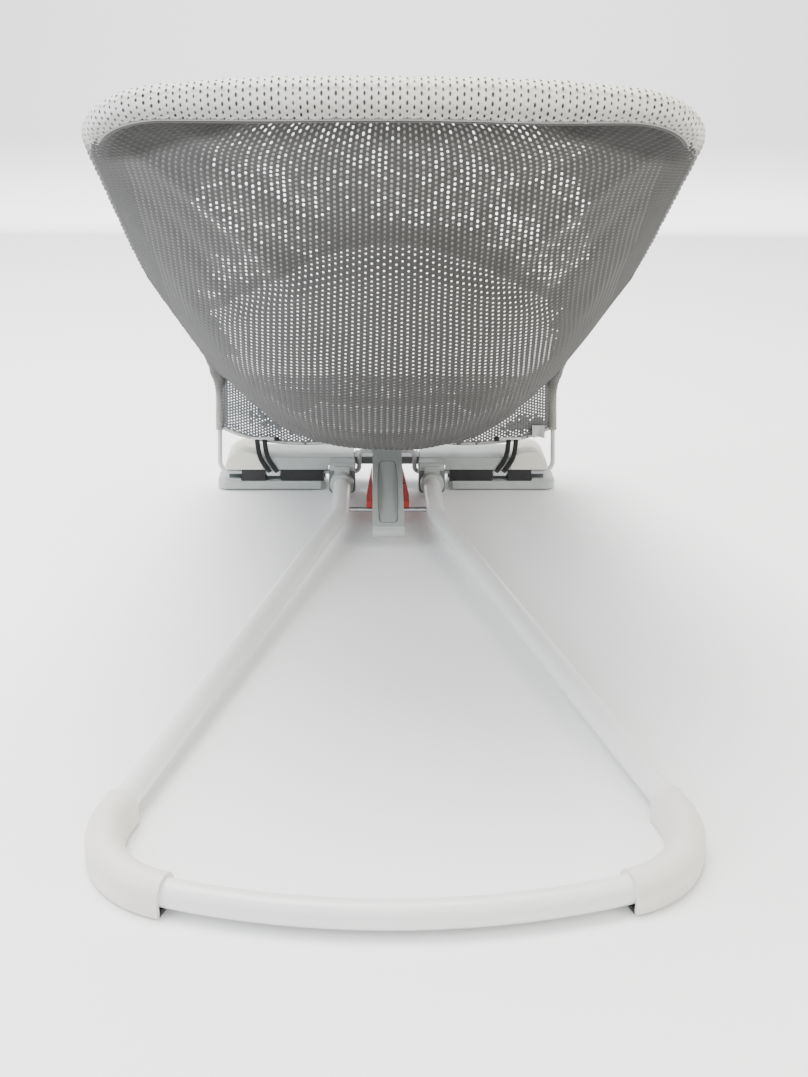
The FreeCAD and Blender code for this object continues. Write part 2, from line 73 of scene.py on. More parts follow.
pitch, yaw = math.radians(22.338), math.radians(-1.385)
camera = bpy.data.objects.new("camera", bpy.data.cameras.new("camera"))
scene.collection.objects.link(camera)
camera.location = (0.0139, 1.0183, 0.5059)
aim(camera, (math.sin(yaw) * math.cos(pitch), -math.cos(yaw) * math.cos(pitch), -math.sin(pitch)), 0.469)
camera.data.sensor_width = 36
camera.data.lens = 44.69
scene.camera = camera


def area_light(name, place, target, size, watts, color):
    light = bpy.data.lights.new(name, "AREA")
    light.shape = "RECTANGLE"
    light.size, light.size_y = size
    light.energy = watts
    light.color = color
    lamp = bpy.data.objects.new(name, light)
    scene.collection.objects.link(lamp)
    lamp.location = place
    aim(lamp, Vector(target) - Vector(place))


area_light("key", (0.45, -0.55, 2.5), (0, -0.1, 0.1), (2.2, 1.8), 190, (1.0, 0.99, 0.965))
area_light("cool_side", (1.5, 0.7, 1.0), (0, 0, 0.25), (0.9, 0.9), 20, (0.86, 0.93, 1.0))
area_light("backdrop", (0, -2.2, 1.6), (0, -5.0, 1.2), (4.0, 3.0), 150, (1.0, 1.0, 1.0))
area_light("warm_side", (-1.4, 0.8, 1.2), (0, 0, 0.2), (0.8, 0.8), 14, (1.0, 0.93, 0.82))

world = bpy.data.worlds.new("studio")
world.use_nodes = True
world.node_tree.nodes["Background"].inputs["Color"].default_value = (0.97, 0.985, 1.0, 1)
world.node_tree.nodes["Background"].inputs["Strength"].default_value = 1.25
scene.world = world


# ---------------------------------------------------------------- materials

class Graph:
    """A material's node tree, with short calls for the nodes it is built from."""

    def __init__(self, name):
        self.material = bpy.data.materials.new(name)
        self.material.use_nodes = True
        self.tree = self.material.node_tree
        self.shader = self.tree.nodes["Principled BSDF"]
        self.place = self.node("ShaderNodeTexCoord").outputs["Object"]

    def node(self, kind, **settings):
        made = self.tree.nodes.new(kind)
        for key, value in settings.items():
            setattr(made, key, value)
        return made

    def feed(self, made, **inputs):
        for key, value in inputs.items():
            spoken = key.replace("_", " ")
            socket = made.inputs[spoken] if spoken in made.inputs else made.inputs[int(key[1:])]
            if isinstance(value, bpy.types.NodeSocket):
                self.tree.links.new(value, socket)
            else:
                socket.default_value = value
        return made

    def noise(self, scale, detail=3.0, rough=0.5, where=None):
        made = self.node("ShaderNodeTexNoise")
        self.feed(made, Vector=where or self.place, Scale=scale, Detail=detail, Roughness=rough)
        return made.outputs["Fac"]

    def speckle(self, scale, where=None):
        made = self.node("ShaderNodeTexVoronoi")
        self.feed(made, Vector=where or self.place, Scale=scale)
        return made.outputs["Distance"]

    def remap(self, value, low, high, to_low=0.0, to_high=1.0):
        made = self.node("ShaderNodeMapRange", interpolation_type="SMOOTHSTEP")
        self.feed(made, Value=value, From_Min=low, From_Max=high, To_Min=to_low, To_Max=to_high)
        return made.outputs["Result"]

    def math(self, operation, first, second=0.0):
        made = self.node("ShaderNodeMath", operation=operation)
        self.feed(made, _0=first, _1=second)
        return made.outputs[0]

    def mix(self, factor, first, second):
        made = self.node("ShaderNodeMix", data_type="RGBA")
        for index, value in ((0, factor), (6, first), (7, second)):
            if isinstance(value, bpy.types.NodeSocket):
                self.tree.links.new(value, made.inputs[index])
            else:
                made.inputs[index].default_value = value
        return made.outputs[2]

    def bump(self, height, strength, distance):
        made = self.node("ShaderNodeBump")
        self.feed(made, Height=height, Strength=strength, Distance=distance)
        return made.outputs["Normal"]

    def attribute(self, name):
        return self.node("ShaderNodeAttribute", attribute_name=name)

    def finish(self, **sockets):
        for key, value in sockets.items():
            self.feed(self.shader, **{key: value})
        return self.material


def shade(color, factor):
    return tuple(min(1.0, c * factor) for c in color) + (1.0,)


def moulded(name, color, rough=0.45, grain=0.10, wear=0.35):
    """Moulded plastic: fine spark-eroded grain, cloudy tone, rubbed edges and a few scuffs."""
    g = Graph(name)
    cloud = g.noise(9.0, 4.0)
    tone = g.mix(g.remap(cloud, 0.35, 0.65), shade(color, 0.955), shade(color, 1.03))
    edge = g.remap(g.node("ShaderNodeNewGeometry").outputs["Pointiness"], 0.515, 0.57)
    rubbed = g.math("MULTIPLY", edge, g.remap(g.noise(60.0, 3.0), 0.4, 0.6, 0.0, wear))
    tone = g.mix(rubbed, tone, shade(color, 1.22))
    marks = g.remap(g.noise(34.0, 5.0, 0.75), 0.73, 0.78, 0.0, 0.35)
    tone = g.mix(marks, tone, shade(color, 0.7))
    fine = g.noise(2300.0, 2.0)
    normal = g.bump(fine, grain, 0.0004)
    roughness = g.remap(g.noise(45.0, 4.0), 0.3, 0.7, rough - 0.06, rough + 0.08)
    return g.finish(Base_Color=tone, Roughness=roughness, Normal=normal)


def painted_highlight_ends(name, color, highlight_color, start):
    """Moulded plastic whose outer ends, beyond start from the middle, get a painted highlight: a paler
    cap colour.
    """
    material = moulded(name, color)
    tree = material.node_tree
    shader = tree.nodes["Principled BSDF"]
    place = tree.nodes.new("ShaderNodeTexCoord")
    split = tree.nodes.new("ShaderNodeSeparateXYZ")
    width = tree.nodes.new("ShaderNodeMath")
    width.operation = "ABSOLUTE"
    edge = tree.nodes.new("ShaderNodeMapRange")
    edge.inputs["From Min"].default_value = start
    edge.inputs["From Max"].default_value = start + 0.0006
    mix = tree.nodes.new("ShaderNodeMix")
    mix.data_type = "RGBA"
    mix.blend_type = "MULTIPLY"
    # painted highlight: the outer ends are multiplied towards the paler colour
    mix.inputs[7].default_value = tuple(b / a for a, b in zip(color, highlight_color)) + (1.0,)
    for source, target in (
        (place.outputs["Object"], split.inputs[0]),
        (split.outputs["X"], width.inputs[0]),
        (width.outputs[0], edge.inputs["Value"]),
        (edge.outputs["Result"], mix.inputs[0]),
        (shader.inputs["Base Color"].links[0].from_socket, mix.inputs[6]),
        (mix.outputs[2], shader.inputs["Base Color"]),
    ):
        tree.links.new(source, target)
    return material


def powder_coat(name, color, rough=0.34):
    """White powder coat on tube: orange peel, a little yellowing, rare dark nicks."""
    g = Graph(name)
    tone = g.mix(g.remap(g.noise(5.0, 3.0), 0.35, 0.65), shade(color, 0.965), shade(color, 1.02))
    nicks = g.remap(g.speckle(42.0), 0.0, 0.055, 1.0, 0.0)
    nicks = g.math("MULTIPLY", nicks, g.remap(g.noise(7.0, 2.0), 0.60, 0.66))
    tone = g.mix(g.math("MULTIPLY", nicks, 0.75), tone, (0.16, 0.15, 0.14, 1))
    peel = g.noise(520.0, 2.0)
    normal = g.bump(peel, 0.10, 0.0006)
    roughness = g.remap(g.noise(30.0, 4.0), 0.3, 0.7, rough - 0.05, rough + 0.10)
    return g.finish(Base_Color=tone, Roughness=roughness, Normal=normal,
                    Coat_Weight=0.25, Coat_Roughness=0.22)


def steel(name, color, rough):
    """Drawn wire: bright metal with fine lines along X and dull patches."""
    g = Graph(name)
    stretched = g.node("ShaderNodeMapping")
    g.feed(stretched, Vector=g.place, Scale=(30.0, 1600.0, 1600.0))
    lines = g.noise(1.0, 3.0, 0.6, stretched.outputs[0])
    tone = g.mix(g.noise(60.0, 4.0), shade(color, 0.78), shade(color, 1.12))
    roughness = g.remap(lines, 0.3, 0.7, rough - 0.08, rough + 0.12)
    return g.finish(Base_Color=tone, Metallic=1.0, Roughness=roughness,
                    Normal=g.bump(lines, 0.15, 0.0002))


def rubber(name, color):
    g = Graph(name)
    tone = g.mix(g.noise(80.0, 5.0), shade(color, 0.7), shade(color, 1.5))
    ribs = g.noise(900.0, 2.0)
    return g.finish(Base_Color=tone, Roughness=g.remap(g.noise(120.0), 0.3, 0.7, 0.62, 0.85),
                    Normal=g.bump(ribs, 0.3, 0.0004))


def knit(name, light, dark, side_light_tint=None, relief=0.5, sheen=0.25, shaded=None, lining=None):
    """Spacer mesh: bright ribs down the knit columns, with painted shade in the hollows between them and
    round each pore.
    """
    g = Graph(name)
    cloth = g.attribute("cloth").outputs["Vector"]
    split = g.node("ShaderNodeSeparateXYZ")
    g.feed(split, Vector=cloth)
    pore = g.attribute("pore").outputs["Fac"]
    column = g.math("ABSOLUTE", g.math("SUBTRACT", g.math("FRACT", split.outputs["X"]), 0.5))
    rib = g.remap(column, 0.10, 0.46, 1.0, 0.0)
    loops = g.math("SINE", g.math("MULTIPLY", split.outputs["Y"], 2 * math.pi * 4.0))
    wale = g.math("SINE", g.math("MULTIPLY", split.outputs["X"], 2 * math.pi * 5.0))
    knots = g.remap(g.math("MULTIPLY", loops, wale), -0.9, 0.9)
    fuzz = g.noise(1400.0, 3.0, 0.6)
    patches = g.noise(11.0, 4.0)
    # painted shade: the colour follows the knit's relief, darker in the hollows between ribs and knots
    lift = g.math("ADD", g.math("MULTIPLY", rib, 0.55), g.math("MULTIPLY", knots, 0.45))
    lift = g.math("MULTIPLY", lift, g.remap(fuzz, 0.25, 0.75, 0.72, 1.15))
    tone = g.mix(lift, shade(dark, 1.0), shade(light, 1.0))
    tone = g.mix(g.remap(patches, 0.35, 0.65, 0.0, 0.35), tone, shade(dark, 1.25))
    # painted light: towards +X the cloth is multiplied brighter and bluer, as a cool lamp on that side
    # would light it
    if side_light_tint is not None:
        side = g.node("ShaderNodeSeparateXYZ")
        g.feed(side, Vector=g.place)
        side_light_mix = g.node("ShaderNodeMix", data_type="RGBA", blend_type="MULTIPLY")
        amount = g.remap(side.outputs["X"], -0.12, 0.2, 0.0, 1.0)
        g.tree.links.new(amount, side_light_mix.inputs[0])
        g.tree.links.new(tone, side_light_mix.inputs[6])
        side_light_mix.inputs[7].default_value = side_light_tint + (1.0,)
        tone = side_light_mix.outputs[2]
    # painted shade: darker towards each pore's edge
    inner = g.remap(pore, 0.25, 1.0, 0.0, 0.45)
    tone = g.mix(inner, tone, shade(dark, 0.75))
    if lining is not None:
        lined = g.mix(fuzz, shade(lining, 0.8), shade(lining, 1.1))
        tone = g.mix(g.attribute("veil").outputs["Fac"], tone, lined)
    if shaded is not None:
        dim = g.mix(lift, shade(shaded, 0.6), shade(shaded, 1.25))
        tone = g.mix(g.attribute("shaded").outputs["Fac"], tone, dim)
    height = g.math("ADD", g.math("MULTIPLY", lift, 0.8), g.math("MULTIPLY", fuzz, 0.25))
    normal = g.bump(height, relief, 0.0009)
    return g.finish(Base_Color=tone, Roughness=0.88, Normal=normal,
                    Sheen_Weight=sheen, Sheen_Roughness=0.5)


def webbing(name, color, ribs=900.0, sheen=0.3):
    """Woven elastic or binding tape: crosswise ribs with a fine twill."""
    g = Graph(name)
    wave = g.node("ShaderNodeTexWave", bands_direction="X")
    g.feed(wave, Vector=g.place, Scale=ribs, Distortion=1.2)
    fine = g.noise(1900.0, 3.0)
    height = g.math("ADD", g.math("MULTIPLY", wave.outputs["Fac"], 0.6), g.math("MULTIPLY", fine, 0.5))
    tone = g.mix(height, shade(color, 0.62), shade(color, 1.25))
    return g.finish(Base_Color=tone, Roughness=g.remap(fine, 0.3, 0.7, 0.75, 0.92),
                    Normal=g.bump(height, 0.5, 0.0006), Sheen_Weight=sheen, Sheen_Roughness=0.45)


white_tube = powder_coat("white_powder_coat", (0.80, 0.80, 0.785))
wire_coat = powder_coat("grey_wire_coat", (0.52, 0.53, 0.53), 0.26)
bright_steel = steel("drawn_steel", (0.60, 0.61, 0.63), 0.28)
cream_plastic = moulded("cream_plastic", (0.70, 0.672, 0.615), 0.50, 0.18)
grey_plastic = moulded("grey_plastic", (0.40, 0.43, 0.412), 0.42)
# the covers' outer ends carry a painted highlight
cover_plastic_painted_highlight = painted_highlight_ends("cover_plastic_painted_highlight", (0.37, 0.40, 0.385), (0.72, 0.70, 0.62), 0.1345)
dark_plastic = moulded("dark_plastic", (0.135, 0.15, 0.155), 0.42)
black_plastic_and_slot_shade = moulded("black_plastic_and_slot_shade", (0.010, 0.010, 0.011), 0.5)
red_plastic = moulded("red_plastic", (0.42, 0.028, 0.022), 0.33)
white_plastic = moulded("white_plastic", (0.72, 0.735, 0.73), 0.35)
sole_rubber = rubber("sole_rubber", (0.035, 0.035, 0.036))
# painted shade: the sling's pale air mesh is given a dark grey colour for the shade on its underside
mesh_painted_deep_shade = knit(
    "mesh_painted_deep_shade", (0.078, 0.074, 0.068), (0.026, 0.0245, 0.0225), side_light_tint=(1.30, 1.38, 1.52),
    sheen=0.08, shaded=(0.014, 0.0135, 0.012), lining=(0.33, 0.325, 0.305))
# painted shade: the same pale air mesh in mid grey, for the leg panel and flap as they read in shade
mesh_painted_half_shade = knit(
    "mesh_painted_half_shade", (0.27, 0.272, 0.268), (0.115, 0.117, 0.117), side_light_tint=(1.0, 1.05, 1.12),
    sheen=0.12, lining=(0.24, 0.243, 0.245))
mesh_white = knit(
    "mesh_white", (0.93, 0.91, 0.835), (0.70, 0.68, 0.60), side_light_tint=(1.02, 1.04, 1.12),
    relief=0.7, shaded=(0.10, 0.099, 0.096))
# painted shade: the roll's core is made dark so that the pores over it read dark, as the shade inside
# them would
core_painted_shade = rubber("roll_core_painted_shade", (0.21, 0.205, 0.19))
dark_thread = webbing("dark_thread", (0.055, 0.05, 0.047), 1500.0, 0.1)
white_tape = webbing("white_tape", (0.62, 0.62, 0.60), 1100.0)
grey_tape = webbing("grey_tape", (0.25, 0.25, 0.245), 1100.0)
black_elastic = webbing("black_elastic", (0.018, 0.018, 0.018), 1000.0, 0.15)

finishes = {
    "white_tube": white_tube, "grey_wire": wire_coat, "bare_steel": bright_steel,
    "cream_plastic": cream_plastic, "grey_plastic": grey_plastic, "dark_plastic": dark_plastic,
    "red_plastic": red_plastic, "sole_rubber": sole_rubber, "mesh_back": mesh_painted_deep_shade,
    "mesh_trim": mesh_white, "elastic": black_elastic, "white_plastic": white_plastic,
}
for subpart in frame["record"]["subparts"]:
    holder = nodes[subpart["node"]]
    finish = finishes[subpart["material_slot"]]
    # painted shade: the hinge bushes are made near-black so that the slot along the front foot reads
    # dark as shade
    if subpart["node"] == "hinge_bushes":
        finish = black_plastic_and_slot_shade
    if "front_cover" in subpart["node"]:
        finish = cover_plastic_painted_highlight
    if not holder.material_slots:
        holder.data.materials.append(finish)
    for material_slot in holder.material_slots:
        material_slot.material = finish


# ---------------------------------------------------------------- floor

def new_object(name, mesh, *materials):
    made = bpy.data.objects.new(name, mesh)
    scene.collection.objects.link(made)
    for material in materials:
        mesh.materials.append(material)
    return made


sweep = [(7.0, 0.0), (-4.0, 0.0)]
sweep += [(-4.0 - 1.6 * math.sin(t), 1.6 - 1.6 * math.cos(t)) for t in np.linspace(0.1, math.pi / 2, 14)]
sweep.append((-5.6, 6.0))
floor_points = [(x, y, z) for y, z in sweep for x in (-8, 8)]
floor_faces = [(2 * k, 2 * k + 1, 2 * k + 3, 2 * k + 2) for k in range(len(sweep) - 1)]
floor_mesh = bpy.data.meshes.new("floor")
floor_mesh.from_pydata(floor_points, [], floor_faces)
for polygon in floor_mesh.polygons:
    polygon.use_smooth = True
paper = Graph("paper_floor")
paper.finish(
    Base_Color=paper.mix(paper.noise(3.0), (0.93, 0.93, 0.93, 1), (0.95, 0.95, 0.945, 1)),
    Roughness=0.8, Normal=paper.bump(paper.noise(500.0), 0.05, 0.0005))
floor = new_object("floor", floor_mesh, paper.material)


# ---------------------------------------------------------------- the seat's lines

hinge = np.array(frame["record"]["behaviour"]["joints"][0]["pos_m"])
lean = math.radians(110.3)
rail_angle = math.radians(30.3)
leg_up = np.array((0.0, math.cos(lean), math.sin(lean)))
along = np.array((0.0, math.cos(rail_angle), math.sin(rail_angle)))
below = np.array((0.0, math.sin(rail_angle), -math.cos(rail_angle)))
across_x = np.array((1.0, 0.0, 0.0))
knee = hinge + leg_up * 0.110
rail_length = 0.628
corner_x = 0.195
corner_radius = 0.058


def rail_point(reach, x):
    return knee + along * reach + across_x * x


def rounded_line(points, radii, step):
    """Samples straight runs joined by tangent arcs, evenly spaced."""
    samples = [points[0]]
    for before, corner, after, radius in zip(points, points[1:], points[2:], radii):
        inward = (before - corner) / np.linalg.norm(before - corner)
        outward = (after - corner) / np.linalg.norm(after - corner)
        half = (math.pi - math.acos(float(np.clip(inward @ outward, -1, 1)))) / 2
        trim = radius * math.tan(half)
        bisector = (inward + outward) / np.linalg.norm(inward + outward)
        centre = corner + bisector * radius / math.cos(half)
        first = corner + inward * trim - centre
        tangent = -inward
        for part in np.linspace(0, 1, max(4, int(2 * half * radius / step))):
            turn = 2 * half * part
            samples.append(centre + first * math.cos(turn) + tangent * radius * math.sin(turn))
    samples.append(points[-1])
    return evenly(np.array(samples), step)


def evenly(points, step):
    gaps = np.linalg.norm(np.diff(points, axis=0), axis=1)
    keep = np.concatenate(([True], gaps > 1e-7))
    points = points[keep]
    run = np.concatenate(([0], np.cumsum(np.linalg.norm(np.diff(points, axis=0), axis=1))))
    at = np.linspace(0, run[-1], max(2, int(run[-1] / step)))
    return np.stack([np.interp(at, run, points[:, k]) for k in range(3)], axis=1)


def frames_along(points, start):
    """Tangents and two side directions carried along a line without twisting."""
    tangent = np.gradient(points, axis=0)
    tangent /= np.linalg.norm(tangent, axis=1)[:, None]
    side = np.array(start, float)
    sides = []
    for t in tangent:
        side = side - t * (side @ t)
        side = side / np.linalg.norm(side)
        sides.append(side)
    sides = np.array(sides)
    return tangent, sides, np.cross(tangent, sides)


edge_half = [
    hinge + leg_up * 0.045 + across_x * 0.181,
    knee + across_x * 0.181,
    rail_point(0.072, 0.181),
    rail_point(0.330, 0.200),
    rail_point(0.624, corner_x),
]
flip = np.array((-1.0, 1.0, 1.0))
edge_points = edge_half + [rail_point(0.640, 0.0)] + [p * flip for p in edge_half[::-1]]
edge_radii = [0.032, 0.150, 1.6, corner_radius]
edge_line = rounded_line(edge_points, edge_radii + [1.5] + edge_radii[::-1], 0.0015)
edge_run = np.linspace(0, 1, len(edge_line))
edge_side, edge_lift = frames_along(edge_line, across_x)[1:]
edge_length = float(np.linalg.norm(np.diff(edge_line, axis=0), axis=1).sum())


# ---------------------------------------------------------------- mesh builders

def wobble(x, y, seed=0.0):
    """Smooth, repeatable unevenness between -1 and 1."""
    total = np.sin(1.7 * x + 2.1 * y + seed) + np.sin(2.9 * x - 1.3 * y + 1.9 * seed + 0.7)
    total += np.sin(-1.1 * x + 3.7 * y + 0.6 * seed + 2.2)
    return total / 3


def scatter(x, y, seed=0.0):
    """A repeatable pseudo-random number from 0 to 1 for each cell."""
    value = np.sin(x * 12.9898 + y * 78.233 + seed * 37.719) * 43758.5453
    return value - np.floor(value)


def fill_mesh(name, points, faces):
    """A mesh from arrays: faces is a list of (count, corners) arrays."""
    mesh = bpy.data.meshes.new(name)
    sizes = np.concatenate([np.full(len(f), f.shape[1]) for f in faces])
    corners = np.concatenate([f.reshape(-1) for f in faces])
    mesh.vertices.add(len(points))
    mesh.vertices.foreach_set("co", np.asarray(points, np.float32).reshape(-1))
    mesh.loops.add(len(corners))
    mesh.loops.foreach_set("vertex_index", corners.astype(np.int32))
    mesh.polygons.add(len(sizes))
    starts = np.concatenate(([0], np.cumsum(sizes)[:-1]))
    mesh.polygons.foreach_set("loop_start", starts.astype(np.int32))
    mesh.polygons.foreach_set("loop_total", sizes.astype(np.int32))
    mesh.polygons.foreach_set("use_smooth", np.ones(len(sizes), bool))
    mesh.update(calc_edges=True)
    mesh.validate()
    return mesh


def mark(mesh, name, values):
    kind = "FLOAT_VECTOR" if values.ndim == 2 else "FLOAT"
    attribute = mesh.attributes.new(name, kind, "POINT")
    field = "vector" if values.ndim == 2 else "value"
    attribute.data.foreach_set(field, values.astype(np.float32).reshape(-1))


def open_knit(name, surface, columns, cells, pore, material, dip=0.0006, closed=False):
    """A knitted mesh with a real opening in each staggered cell.

    surface(u, v) gives points for arrays u across the columns and v along them. pore(u, v)
    gives each opening's size as a share of its cell, where under 0.12 is closed, its stretch,
    and how much of a lining shows behind it, where 0 is a clear opening.
    closed joins the last row of cells to the first, as on a tube."""
    steps = 2 * cells
    rows = steps if closed else steps + 1
    line, level = np.meshgrid(np.arange(columns + 1), np.arange(rows), indexing="ij")
    shift = np.where((level - line) % 2 == 0, 1.0, -1.0) / 6 / columns
    shift[0] = 0
    shift[-1] = 0
    outer_u = line / columns + shift
    outer_v = level / steps
    outer = surface(outer_u.reshape(-1), outer_v.reshape(-1))

    def corner(i, k):
        return i * rows + (k % rows if closed else k)

    column = np.arange(columns)
    ring = []
    for odd in (0, 1):
        chosen = column[column % 2 == odd]
        count = cells if (closed or odd == 0) else cells - 1
        i, j = np.meshgrid(chosen, np.arange(count), indexing="ij")
        ring.append(np.stack([i.reshape(-1), (2 * j + odd).reshape(-1)], axis=1))
    ring = np.concatenate(ring)
    i, k = ring[:, 0], ring[:, 1]
    border = np.stack([corner(i, k), corner(i + 1, k), corner(i + 1, k + 1),
                       corner(i + 1, k + 2), corner(i, k + 2), corner(i, k + 1)], axis=1)
    u0 = (i + 0.5) / columns
    v0 = (k + 1) / steps
    size, stretch, veil = pore(u0, v0)
    is_open = size >= 0.12
    size = np.where(is_open, size, 0.4)
    du = np.stack([outer_u.reshape(-1)[border[:, n]] for n in range(6)], axis=1) - u0[:, None]
    dv = np.array([-1, -1, 0, 1, 1, 0]) / steps
    inner_u = u0[:, None] + du * size[:, None]
    inner_v = v0[:, None] + dv[None, :] * (size * stretch)[:, None]
    if closed:
        inner_v = inner_v % 1.0
    inner = surface(inner_u.reshape(-1), inner_v.reshape(-1))
    nudge = 0.2 / columns
    v_low = np.clip(v0 - nudge, 0, 1)
    v_high = np.clip(v0 + nudge, 0, 1)
    run_u = surface(u0 + nudge, v0) - surface(u0 - nudge, v0)
    run_v = surface(u0, v_high) - surface(u0, v_low)
    normal = np.cross(run_u, run_v)
    normal /= np.linalg.norm(normal, axis=1)[:, None] + 1e-12
    inner = inner + np.repeat(normal, 6, axis=0) * dip
    first = len(outer)
    ids = first + np.arange(len(inner)).reshape(-1, 6)
    quads = []
    for n in range(6):
        m = (n + 1) % 6
        quads.append(np.stack([border[:, n], border[:, m], ids[:, m], ids[:, n]], axis=1))
    faces = [np.concatenate(quads)]
    if not is_open.all():
        faces.append(ids[~is_open])
    veiled = is_open & (veil > 0)
    lining = inner.reshape(-1, 6, 3)[veiled]
    lining_ids = first + len(inner) + np.arange(6 * len(lining)).reshape(-1, 6)
    if len(lining):
        faces.append(lining_ids)
    if not closed:
        odd = column[column % 2 == 1]
        for low in (0, steps - 1):
            faces.append(np.stack([corner(odd, low), corner(odd + 1, low),
                                   corner(odd + 1, low + 1), corner(odd, low + 1)], axis=1))
    mesh = fill_mesh(name, np.concatenate([outer, inner, lining.reshape(-1, 3)]), faces)
    lining_u = inner_u.reshape(-1, 6)[veiled].reshape(-1)
    lining_v = inner_v.reshape(-1, 6)[veiled].reshape(-1)
    cloth_u = np.concatenate([outer_u.reshape(-1), inner_u.reshape(-1), lining_u]) * columns
    cloth_v = np.concatenate([outer_v.reshape(-1), inner_v.reshape(-1), lining_v]) * cells
    mark(mesh, "cloth", np.stack([cloth_u, cloth_v, cloth_u * 0], axis=1))
    mark(mesh, "pore", np.concatenate([np.zeros(first), np.ones(len(inner) + len(lining_u))]))
    mark(mesh, "veil", np.concatenate([np.zeros(first + len(inner)), np.repeat(veil[veiled], 6)]))
    return new_object(name, mesh, material)


def tube(name, points, radius, material, sides=10, start=(0, 0, 1), flat=1.0):
    """A closed tube along a line; radius is a number or one for each point."""
    points = np.asarray(points, float)
    radius = np.broadcast_to(radius, len(points))
    tangent, side, lift = frames_along(points, start)
    angle = np.linspace(0, 2 * math.pi, sides, endpoint=False)
    cosine, sine = np.cos(angle)[None, :, None], np.sin(angle)[None, :, None]
    ring = side[:, None] * cosine + lift[:, None] * sine * flat
    body = points[:, None] + ring * radius[:, None, None]
    tip = radius[0] * 0.55
    body = np.concatenate([
        points[None, :1] - tangent[0] * tip + ring[:1] * radius[0] * 0.35,
        body,
        points[None, -1:] + tangent[-1] * tip + ring[-1:] * radius[-1] * 0.35])
    count = len(body)
    k, n = np.meshgrid(np.arange(count - 1), np.arange(sides), indexing="ij")
    a = (k * sides + n).reshape(-1)
    b = (k * sides + (n + 1) % sides).reshape(-1)
    quads = np.stack([a, b, b + sides, a + sides], axis=1)
    caps = np.array([np.arange(sides)[::-1], np.arange(sides) + (count - 1) * sides])
    return new_object(name, fill_mesh(name, body.reshape(-1, 3), [quads, caps]), material)


def stitches(name, line, length, gap, radius, material):
    """A row of short raised stitches along a line, which is walked in steps of spacing."""
    points, faces = [], []
    sides = 5
    angle = np.linspace(0, 2 * math.pi, sides, endpoint=False)
    spacing = 0.0004
    dense = evenly(np.asarray(line, float), spacing)
    hop = max(1, int((length + gap) / spacing))
    span = max(2, int(length / spacing))
    for begin in range(0, len(dense) - span, hop):
        a, b = dense[begin], dense[begin + span]
        t = (b - a) / np.linalg.norm(b - a)
        s = np.cross(t, (0.3, 0.5, 0.8))
        s /= np.linalg.norm(s)
        r = np.cross(t, s)
        base = len(points) * sides
        for part, size in ((0.0, 0.25), (0.2, 1.0), (0.8, 1.0), (1.0, 0.25)):
            ring = s * np.cos(angle)[:, None] + r * np.sin(angle)[:, None]
            points.append(a + (b - a) * part + ring * radius * size)
        for k in range(3):
            for n in range(sides):
                m = (n + 1) % sides
                faces.append((base + k * sides + n, base + k * sides + m,
                              base + (k + 1) * sides + m, base + (k + 1) * sides + n))
    mesh = fill_mesh(name, np.concatenate(points), [np.array(faces)])
    return new_object(name, mesh, material)


# ---------------------------------------------------------------- the sling

def rail_x(reach):
    """The rail centre's distance from the middle, at a reach from the knee."""
    low = 0.181 + (0.200 - 0.181) * np.clip((reach - 0.072) / (0.330 - 0.072), 0, 1)
    high = 0.200 - (0.200 - corner_x) * np.clip((reach - 0.330) / (rail_length - 0.330), 0, 1)
    x = np.where(reach < 0.330, low, high)
    into = np.clip(reach - (rail_length - 0.004 - corner_radius), 0, corner_radius)
    return x - corner_radius + np.sqrt(corner_radius ** 2 - into ** 2)


def ridge(x, reach, start, end, width, height):
    """A soft fold along a line on the sling, in metres across and along."""
    start, end = np.array(start), np.array(end)
    run = end - start
    t = np.clip(((x - start[0]) * run[0] + (reach - start[1]) * run[1]) / (run @ run), 0, 1)
    gap = np.hypot(x - start[0] - run[0] * t, reach - start[1] - run[1] * t)
    return height * np.exp(-(gap / width) ** 2) * np.sin(math.pi * np.clip(0.12 + 0.76 * t, 0, 1))


def sling_depth(part, a):
    """How far the cloth hangs below the rails; part runs from knee to top, a across."""
    swell = 0.108 * np.sin(math.pi * np.clip(part, 0, 1) ** 0.72) ** 1.3
    tuck = np.clip((part - 0.962) / 0.030, 0, 1)
    depth = (0.008 + 0.017 * (1 - part) + swell) * (1 - 0.5 * tuck * tuck * (3 - 2 * tuck))
    return depth * (1 - np.abs(a) ** 2.4)


def arch_line(a):
    """Where the flat back turns over into the seat's hollow: higher in the middle."""
    return 0.812 - 0.39 * np.abs(a) ** 2


def sling_half(reach):
    """Half the sling's width: it reaches round the outer side of each rail's sleeve."""
    return rail_x(reach) + 0.0042


